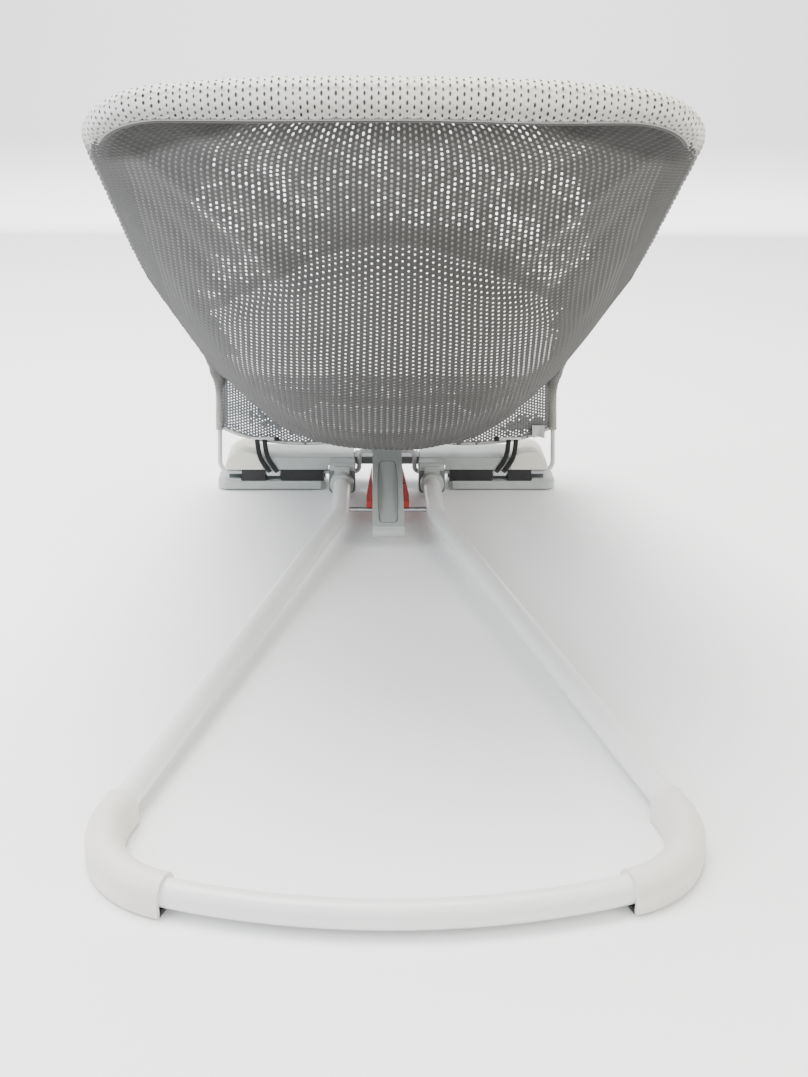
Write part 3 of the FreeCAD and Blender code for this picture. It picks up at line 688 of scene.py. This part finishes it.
def sling_surface(part, a, lift=0.0, half=None):
    reach = part * rail_length
    full = sling_half(reach)
    width = full if half is None else half
    x = width * a
    beside = np.clip(np.abs(x) / full, 0, 1)
    depth = sling_depth(part, beside) + 0.0052 * beside ** 4
    if half is None:
        onset = np.clip((arch_line(a) - part) / 0.035, 0, 1)
        onset = onset * onset * (3 - 2 * onset)
        fade = np.clip((part - 0.30) / 0.3, 0, 1)
        hollow = 0.0065 * onset * fade * (1 - np.abs(a) ** 2)
        folds = np.zeros_like(x)
        for side in (1, -1):
            folds += ridge(x, reach, (side * 0.185, 0.600), (side * 0.075, 0.470), 0.010, 0.0032)
            folds += ridge(x, reach, (side * 0.190, 0.560), (side * 0.120, 0.430), 0.011, -0.0030)
            folds += ridge(x, reach, (side * 0.150, 0.610), (side * 0.030, 0.520), 0.012, -0.0022)
            folds += ridge(x, reach, (side * 0.192, 0.480), (side * 0.140, 0.330), 0.012, 0.0028)
            folds += ridge(x, reach, (side * 0.165, 0.090), (side * 0.060, 0.190), 0.012, 0.0030)
            folds += ridge(x, reach, (side * 0.160, 0.160), (side * 0.080, 0.260), 0.014, -0.0025)
        folds += 0.0009 * wobble(x * 34, reach * 26, 1.3)
        edge = 1 - np.abs(a) ** 6
        depth = depth + (hollow + folds) * edge
    base = knee[None] + along[None] * reach[:, None] + across_x[None] * x[:, None]
    return base + below[None] * (depth - lift + 0.003)[:, None]


def evened(point, tables=121):
    """Wraps point(part, a) so that u and v run evenly along the cloth."""
    parts = np.linspace(0, 1, tables)
    sides = np.linspace(-1, 1, tables)
    pp, aa = np.meshgrid(parts, sides, indexing="ij")
    grid = point(pp.reshape(-1), aa.reshape(-1)).reshape(tables, tables, 3)
    down = np.linalg.norm(np.diff(grid, axis=0), axis=2)
    down = down[:, tables // 4:-tables // 4].mean(axis=1)
    down = np.concatenate(([0], np.cumsum(down)))
    over = np.cumsum(np.linalg.norm(np.diff(grid, axis=1), axis=2), axis=1)
    over = np.concatenate((np.zeros((tables, 1)), over), axis=1)
    over_a = np.stack([np.interp(parts * row[-1], row, sides) for row in over])

    def surface(u, v):
        part = np.interp(v * down[-1], down, parts)
        spot = part * (tables - 1)
        low = np.clip(spot.astype(int), 0, tables - 2)
        rest = spot - low
        upos = np.clip(u, 0, 1) * (tables - 1)
        left = np.clip(upos.astype(int), 0, tables - 2)
        side = upos - left
        first = over_a[low, left] * (1 - side) + over_a[low, left + 1] * side
        second = over_a[low + 1, left] * (1 - side) + over_a[low + 1, left + 1] * side
        a = first * (1 - rest) + second * rest
        return point(part, a), part, a

    sizes = (float(over[:, -1].mean()), float(down[-1]))
    return surface, sizes


def corner_fold(part, a):
    """The doubled triangle in each top corner, under the roll, which gets painted shade: 0 outside, 1
    well inside.
    """
    inside = np.abs(a) - 0.42 - 4.8 * (1 - part)
    return np.clip(inside / 0.10, 0, 1) * np.clip((0.99 - np.abs(a)) / 0.06, 0, 1)


sling_low, sling_high = 0.004, 0.992
sling_map, sling_size = evened(lambda p, a: sling_surface(sling_low + (sling_high - sling_low) * p, a))


def sling_points(u, v):
    return sling_map(u, v)[0]


def sling_pores(u, v):
    """Long pores above the arch, partly lined; even ones on the seat; lined ones at the sides."""
    _, share, a = sling_map(u, v)
    part = sling_low + (sling_high - sling_low) * share
    over = part - arch_line(a)
    above = np.clip(over / 0.012, 0, 1)
    band = above * np.clip(1 - over / 0.06, 0, 1)
    side = np.clip((np.abs(a) - 0.50) / 0.38, 0, 1)
    size = 0.285 + 0.065 * above - 0.09 * band
    size = size * (1 + 0.10 * wobble(u * 24, v * 30, 0.4)) * (1 - 0.25 * side)
    size = size * (0.72 + 0.28 * np.clip((part - 0.16) / 0.25, 0, 1))
    patch = 0.5 * wobble(u * 13, v * 21, 3.0) + 1.5 * (scatter(u * 97, v * 131) - 0.5) - 0.9 * band
    # the linings show dimmer in the band above the arch: painted shade
    dimness = (0.55 + 0.45 * scatter(u * 41, v * 67, 2.0)) * (1 - 0.5 * band)
    veil = np.where((patch < 0.26) & (above > 0.5), dimness, 0.0)
    lined_from = 0.66 + 0.10 * wobble(u * 9, v * 15, 6.0) + 0.06 * (scatter(u * 57, v * 83, 4.0) - 0.5)
    veil = np.where(np.abs(a) > lined_from, 0.35, veil)
    doubled = corner_fold(part, a)
    veil = np.where(doubled > 0, 0.30, veil)
    size = size * (1 - 0.35 * doubled)
    return np.where(np.abs(a) > 0.90, 0.0, size), 0.95 + 0.62 * above, veil


sling = open_knit("sling_cover", sling_points, 96, 138, sling_pores, mesh_painted_deep_shade, dip=-0.0007)
places = np.empty(len(sling.data.vertices) * 3, np.float32)
sling.data.vertices.foreach_get("co", places)
places = places.reshape(-1, 3)
reaches = (places - knee) @ along
side_share = places[:, 0] / sling_half(reaches)
# painted shade on the sling: the doubled top corners, a strip under the roll and a band above the arch
# are darkened through the shaded attribute
under_roll = np.clip(1 - (0.622 - reaches) / 0.013, 0, 1)
over_arch = reaches / rail_length - arch_line(side_share)
band = np.clip(over_arch / 0.012, 0, 1) * np.clip(1 - over_arch / 0.10, 0, 1)
band = band * np.clip(1.5 - 1.6 * np.abs(side_share), 0, 1)
corner_shade = corner_fold(reaches / rail_length, side_share)
mark(sling.data, "shaded", np.maximum(np.maximum(0.92 * corner_shade, 0.7 * under_roll), 0.30 * band))
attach(sling, "seat")
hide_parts("back_panel", "seat_bucket")
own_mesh(sling)

# ---------------------------------------------------------------- edge roll and sleeves

def along_edge(run):
    """Line, side and lift at a share of the edge line's length."""
    out = []
    for table in (edge_line, edge_side, edge_lift):
        out.append(np.stack([np.interp(run, edge_run, table[:, k]) for k in range(3)], axis=1))
    return out


def smooth(value, low, high):
    t = np.clip((value - low) / (high - low), 0, 1)
    return t * t * (3 - 2 * t)


def roll_radius(point):
    """Fullest in the middle of the top, slimmer to the corners and rails, thin on the legs."""
    reach = (point - knee) @ along
    top = smooth(reach, 0.575, 0.622)
    crown = 1 - smooth(np.abs(point[:, 0]), 0.075, 0.190)
    height = (point - hinge) @ leg_up
    rail = smooth(height + np.clip(reach, 0, 1), 0.080, 0.125)
    return 0.0034 + 0.0050 * rail + top * (0.0006 + 0.0033 * crown)


def roll_surface(u, v, shrink=0.0):
    line, side, lift = along_edge(u)
    side /= np.linalg.norm(side, axis=1)[:, None]
    lift /= np.linalg.norm(lift, axis=1)[:, None]
    angle = 2 * math.pi * v
    radius = roll_radius(line)
    uneven = 1 + 0.035 * wobble(u * 150, np.cos(angle) * 1.6, 2.0)
    uneven = uneven + 0.02 * wobble(u * 420, np.sin(angle) * 2.0, 5.0)
    size = radius * uneven - shrink
    return line + (side * np.cos(angle)[:, None] + lift * np.sin(angle)[:, None]) * size[:, None]


def roll_pores(u, v):
    point = along_edge(u)[0]
    reach = (point - knee) @ along
    top = np.clip((reach - 0.55) / 0.06, 0, 1)
    size = 0.19 + 0.08 * top + 0.08 * (scatter(u * 391, v * 17, 3.0) - 0.5)
    return np.where(reach < 0.05, 0.0, size), 2.0, 0 * size


roll_columns = int(edge_length / 0.0043) // 2 * 2
roll_cells = 15
roll = open_knit("edge_roll", roll_surface, roll_columns, roll_cells, roll_pores, mesh_white,
                 dip=-0.0009, closed=True)
places = np.empty(len(roll.data.vertices) * 3, np.float32)
roll.data.vertices.foreach_get("co", places)
places = places.reshape(-1, 3)
off_top = 1 - smooth((places - knee) @ along - 0.35 * (places - knee) @ below, 0.560, 0.605)
on_legs = 1 - smooth((places - hinge) @ leg_up, 0.070, 0.105)
turns = np.empty(len(places) * 3, np.float32)
roll.data.attributes["cloth"].data.foreach_get("vector", turns)
middle = len(edge_line) // 2
below_turn = math.atan2(float(edge_lift[middle] @ below), float(edge_side[middle] @ below))
underside = smooth(np.cos(turns[1::3] / roll_cells * 2 * math.pi - below_turn), 0.35, 0.98)
mark(roll.data, "shaded", np.maximum(off_top * (1 - 0.45 * on_legs), 0.55 * underside))
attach(roll, "seat")
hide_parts("top_roll", "left_rail_sleeve", "right_rail_sleeve")
core_at = edge_line[::3]
core = tube("roll_core_painted_shade", core_at, roll_radius(core_at) - 0.0018, core_painted_shade, 18, start=across_x)
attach(core, "seat")


def roll_line(turn, out, low=0.0, high=1.0, wave=0.0):
    """A line along the roll at an angle round it, a little off its surface."""
    u = np.linspace(low, high, 700)
    line, side, lift = along_edge(u)
    angle = turn + wave * np.sin(u * 61.0) * np.sin(u * 23.0 + 1.0)
    size = roll_radius(line) + out
    return line + (side * np.cos(angle)[:, None] + lift * np.sin(angle)[:, None]) * size[:, None]


seam_turn = below_turn + 0.35
on_top = edge_run[(edge_line - knee) @ along > 0.590]
seam_ends = (float(on_top[0]), float(on_top[-1]))
seam = tube("roll_seam", roll_line(seam_turn, 0.0003, *seam_ends, 0.05), 0.0017, dark_thread, 8)
piping = tube("roll_piping", roll_line(seam_turn - 0.22, 0.0002, *seam_ends, 0.05), 0.0011, grey_tape, 8)
for trim in (seam, piping):
    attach(trim, "seat")


# ---------------------------------------------------------------- leg panel

def hem_reach(x):
    return 0.028 + 0.018 * np.clip(np.abs(x) / 0.178, 0, 1) ** 5 + 0.016 * np.exp(-(x / 0.042) ** 2)


panel_half = 0.1785
leg_lip = 0.78


def leg_surface(share, a):
    """From the hem up to the front of the sling, then a lip that stands inside the seat."""
    x = panel_half * a
    top = sling_surface(np.full_like(a, sling_low), np.clip(x / sling_half(np.array(0.003)), -1, 1))
    top[:, 0] = x
    low = hinge[None] + leg_up[None] * hem_reach(x)[:, None] + across_x[None] * x[:, None]
    rise = sling_depth(np.full_like(a, sling_low), np.clip(x / 0.182, -1, 1)) + 0.001
    lip = top - below[None] * (rise * 0.85)[:, None] - along[None] * 0.002
    climb = np.clip(share / leg_lip, 0, 1)[:, None]
    fold = np.clip((share - leg_lip) / (1 - leg_lip), 0, 1)[:, None]
    point = low * (1 - climb) + top * climb
    point = point * (1 - fold) + lip * fold
    out = np.cross(across_x, leg_up)
    belly = np.sin(math.pi * np.clip(share / leg_lip, 0, 1)) * (1 - a ** 4)
    bulge = 0.0016 * wobble(x * 40, share * 5.0, 4.0) + 0.0035 * belly
    gather = 0.0012 * np.sin(x * 210 + 2 * np.sin(x * 60)) * np.clip(1 - share / 0.35, 0, 1)
    return point + out[None] * ((bulge + gather) * (1 - np.abs(a) ** 8))[:, None]


leg_map, leg_size = evened(leg_surface)


def leg_points(u, v):
    return leg_map(u, v)[0]


def leg_pores(u, v):
    _, share, a = leg_map(u, v)
    size = 0.36 + 0.06 * wobble(u * 18, v * 7, 2.2) + 0.10 * (scatter(u * 83, v * 19, 1.0) - 0.5)
    patch = wobble(u * 9, v * 4, 1.7) + 0.7 * (scatter(u * 71, v * 23, 5.0) - 0.5)
    veil = np.where(patch < -0.5, 0.6, 0.0)
    return np.where((share < 0.05) | (np.abs(a) > 0.965), 0.0, size), 0.95, veil


leg = open_knit("leg_cover", leg_points, 116, 28, leg_pores, mesh_painted_half_shade, dip=-0.0006)
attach(leg, "seat")
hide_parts("leg_panel")

hem_x = np.linspace(-panel_half, panel_half, 160)
hem_line = hinge[None] + leg_up[None] * (hem_reach(hem_x) + 0.0015)[:, None]
hem_line = hem_line + across_x[None] * hem_x[:, None]
hem = tube("leg_hem", hem_line, 0.0017, white_tape, 10, start=leg_up, flat=0.8)
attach(hem, "seat")
thread_line = hem_line + leg_up * 0.0045 + np.array((0, 0.0014, 0))
hem_thread = stitches("hem_thread", thread_line, 0.0030, 0.0012, 0.00035, white_tape)
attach(hem_thread, "seat")

# ---------------------------------------------------------------- restraint flap

def flap_surface(share, a):
    part = 0.06 + 0.32 * share
    return sling_surface(part, a, lift=0.008, half=0.060 + 0.190 * part)


flap_map, flap_size = evened(flap_surface)


def flap_points(u, v):
    return flap_map(u, v)[0]


def flap_pores(u, v):
    edge = (np.minimum(u, 1 - u) < 0.03) | (np.minimum(v, 1 - v) < 0.03)
    return np.where(edge, 0.0, 0.42 + 0.05 * wobble(u * 15, v * 20, 1.0)), 1.0, 0 * u


flap = open_knit("restraint_flap_cover", flap_points, 50, 42, flap_pores, mesh_painted_half_shade, dip=0.0006)
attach(flap, "seat")
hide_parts("restraint_flap")
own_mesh(flap)
rim = []
for u0, v0, u1, v1 in ((0, 0, 0, 1), (0, 1, 1, 1), (1, 1, 1, 0), (1, 0, 0, 0)):
    t = np.linspace(0, 1, 60)
    rim.append(flap_points(u0 + (u1 - u0) * t, v0 + (v1 - v0) * t))
flap_binding = tube("flap_binding", np.concatenate(rim), 0.0021, white_tape, 8, flat=0.7)
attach(flap_binding, "seat")
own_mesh(flap_binding)


# ---------------------------------------------------------------- straps

def curve_through(points, step=0.0008):
    """A smooth line through a few points."""
    points = [2 * points[0] - points[1]] + list(points) + [2 * points[-1] - points[-2]]
    samples = []
    for p0, p1, p2, p3 in zip(points, points[1:], points[2:], points[3:]):
        for t in np.linspace(0, 1, 24, endpoint=False):
            samples.append(0.5 * (2 * p1 + (p2 - p0) * t + (2 * p0 - 5 * p1 + 4 * p2 - p3) * t ** 2
                                  + (3 * p1 - p0 - 3 * p2 + p3) * t ** 3))
    samples.append(points[-2])
    return evenly(np.array(samples), step)


toggle_profile = [
    (0.0, 0.0042), (0.0030, 0.0040), (0.0042, 0.0047), (0.0070, 0.0050), (0.0084, 0.0042),
    (0.0090, 0.0025), (0.0084, 0.0006), (0.0070, 0.0), (0.0, 0.0),
]
toggle_sides = 32
for label, sign in (("left", 1.0), ("right", -1.0)):
    spot = np.array((0.875, 0.875, 0.875, 0.90)), np.array((0.86, 0.82, 0.90, 0.86)) * sign
    middle, side_in, side_out, higher = flap_surface(*spot)
    e1 = (side_out - side_in) / np.linalg.norm(side_out - side_in)
    e3 = np.cross(e1, higher - middle)
    e3 /= -np.linalg.norm(e3) * np.sign(e3 @ below)
    e2 = np.cross(e3, e1)
    turn = np.linspace(0, 2 * math.pi, toggle_sides, endpoint=False)
    ring = np.outer(np.cos(turn), e1) + np.outer(np.sin(turn), e2)
    toggle_points = np.concatenate([
        middle + e3 * (height + 0.0015) + ring * max(out, 0.0002) for out, height in toggle_profile])
    here = np.arange(toggle_sides)
    there = (here + 1) % toggle_sides
    low = np.arange(len(toggle_profile) - 1)[:, None] * toggle_sides
    high = low + toggle_sides
    walls = np.stack([low + here, low + there, high + there, high + here], axis=-1).reshape(-1, 4)
    caps = np.stack([here, here[::-1] + toggle_sides * (len(toggle_profile) - 1)])
    toggle_mesh = fill_mesh(f"{label}_toggle", toggle_points, [walls, caps])
    toggle = new_object(f"{label}_toggle", toggle_mesh, white_plastic)
    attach(toggle, "seat")
    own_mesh(toggle)
    if sign > 0:
        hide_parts("restraint_toggles")

cover_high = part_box("left_front_cover")[1]
for label, sign in (("left", 1.0), ("right", -1.0)):
    strands = []
    for k, x_top in enumerate((0.1405, 0.1325)):
        x_low = x_top - 0.0140
        edge_y = cover_high[1]
        route = [
            np.array((x_top, hinge[1] + leg_up[1] * 0.036 + 0.0045, hinge[2] + leg_up[2] * 0.036)),
            np.array((x_top - 0.003, edge_y + 0.0010, 0.0455)),
            np.array((x_top - 0.006, edge_y + 0.0022, 0.0360)),
            np.array((x_top - 0.012, edge_y + 0.0016, 0.0260)),
            np.array((x_low, hinge[1] + 0.0042, hinge[2] + 0.0012)),
        ]
        line = curve_through([p * np.array((sign, 1, 1)) for p in route])
        strands.append(tube(f"{label}_elastic_{k}", line, 0.0026, black_elastic, 14,
                            start=across_x, flat=0.28))
    for strand in strands:
        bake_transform(strand)
    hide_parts(f"{label}_elastic_strap")
    rod_at = hinge + leg_up * 0.0365 + np.array((0, 0.0035, 0))
    rod_line = [rod_at + across_x * sign * x for x in (0.122, 0.130, 0.138, 0.146)]
    rod = tube(f"{label}_hem_rod", rod_line, 0.0019, white_plastic, 12)
    tip_line = [rod_at + across_x * sign * x for x in (0.118, 0.120, 0.122)]
    tip = tube(f"{label}_hem_rod_tip", tip_line, 0.0021, black_plastic_and_slot_shade, 12)
    for piece in (rod, tip):
        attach(piece, "seat")


# ---------------------------------------------------------------- care tab

tab_low, tab_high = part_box("care_tab")
tab_across, tab_down = 15, 19
tab_u, tab_v = np.meshgrid(np.linspace(0, 1, tab_across), np.linspace(0, 1, tab_down), indexing="ij")
tab_u, tab_v = tab_u.reshape(-1), tab_v.reshape(-1)
tab_mid = (np.array(tab_low) + np.array(tab_high)) / 2
tab_span = np.array(tab_high) - np.array(tab_low)
tab_front = np.stack([
    tab_low[0] + tab_span[0] * (tab_u * (1 - 0.06 * tab_v) + 0.03 * tab_v),
    tab_mid[1] + 0.0016 * np.sin(2.2 * math.pi * tab_u + 1.0) * tab_v + 0.003 * tab_v ** 2,
    tab_high[2] - tab_span[2] * tab_v * (1 - 0.05 * np.sin(math.pi * tab_u)),
], axis=1)
tab_back = tab_front - np.array((0, 0.0006, 0))
count = len(tab_front)
grid = np.arange(count).reshape(tab_across, tab_down)
front = np.stack([grid[:-1, :-1], grid[1:, :-1], grid[1:, 1:], grid[:-1, 1:]], axis=-1).reshape(-1, 4)
border = np.concatenate([grid[:-1, 0], grid[-1, :-1], grid[:0:-1, -1], grid[0, :0:-1]])
following = np.roll(border, -1)
walls = np.stack([border, following, following + count, border + count], axis=1)
tab_faces = [front, front[:, ::-1] + count, walls]
tab_mesh = fill_mesh("care_tab_cloth", np.concatenate([tab_front, tab_back]), tab_faces)
tab = new_object("care_tab_cloth", tab_mesh, white_tape)
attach(tab, "seat")
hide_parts("care_tab")


# ---------------------------------------------------------------- seams and a painted shade line on the latch arm

arm_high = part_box("latch_cap")[1]
seam_y = arm_high[1] + 0.0002
seam_z = arm_high[2]
half = arm_high[0]
seam_and_shade_lines = [
    [(-half, seam_y, seam_z), (half, seam_y, seam_z)],
    [(half * 0.05, seam_y, seam_z), (half * 0.05, seam_y - 0.011, seam_z),
     (half, seam_y - 0.011, seam_z)],
]
arm_shell = nodes["latch_arm"].data
arm_top = BVHTree.FromPolygons(
    [v.co for v in arm_shell.vertices], [p.vertices for p in arm_shell.polygons])
# painted shade: a dark line round the dish's rim stands for the shade on the dish's walls
dish_mid = hinge[1] + 0.104
dish_shade_line = []
for turn in np.linspace(0, 2 * math.pi, 90):
    x = 0.0098 * np.sign(math.cos(turn)) * abs(math.cos(turn)) ** 0.30
    y = dish_mid + 0.0625 * np.sign(math.sin(turn)) * abs(math.sin(turn)) ** 0.55
    struck = arm_top.ray_cast(Vector((x, y, 0.3)), Vector((0, 0, -1)))[0]
    dish_shade_line.append((x, y, struck.z + 0.0001))
seam_and_shade_lines.append(dish_shade_line)
for k, corners in enumerate(seam_and_shade_lines):
    line = evenly(np.array(corners, float), 0.0006)
    seam_and_shade_line = tube(f"cap_seam_and_dish_shade_{k}", line, 0.00035, black_plastic_and_slot_shade if k < 2 else dark_plastic, 8)
    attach(seam_and_shade_line, "latch_arm_body")
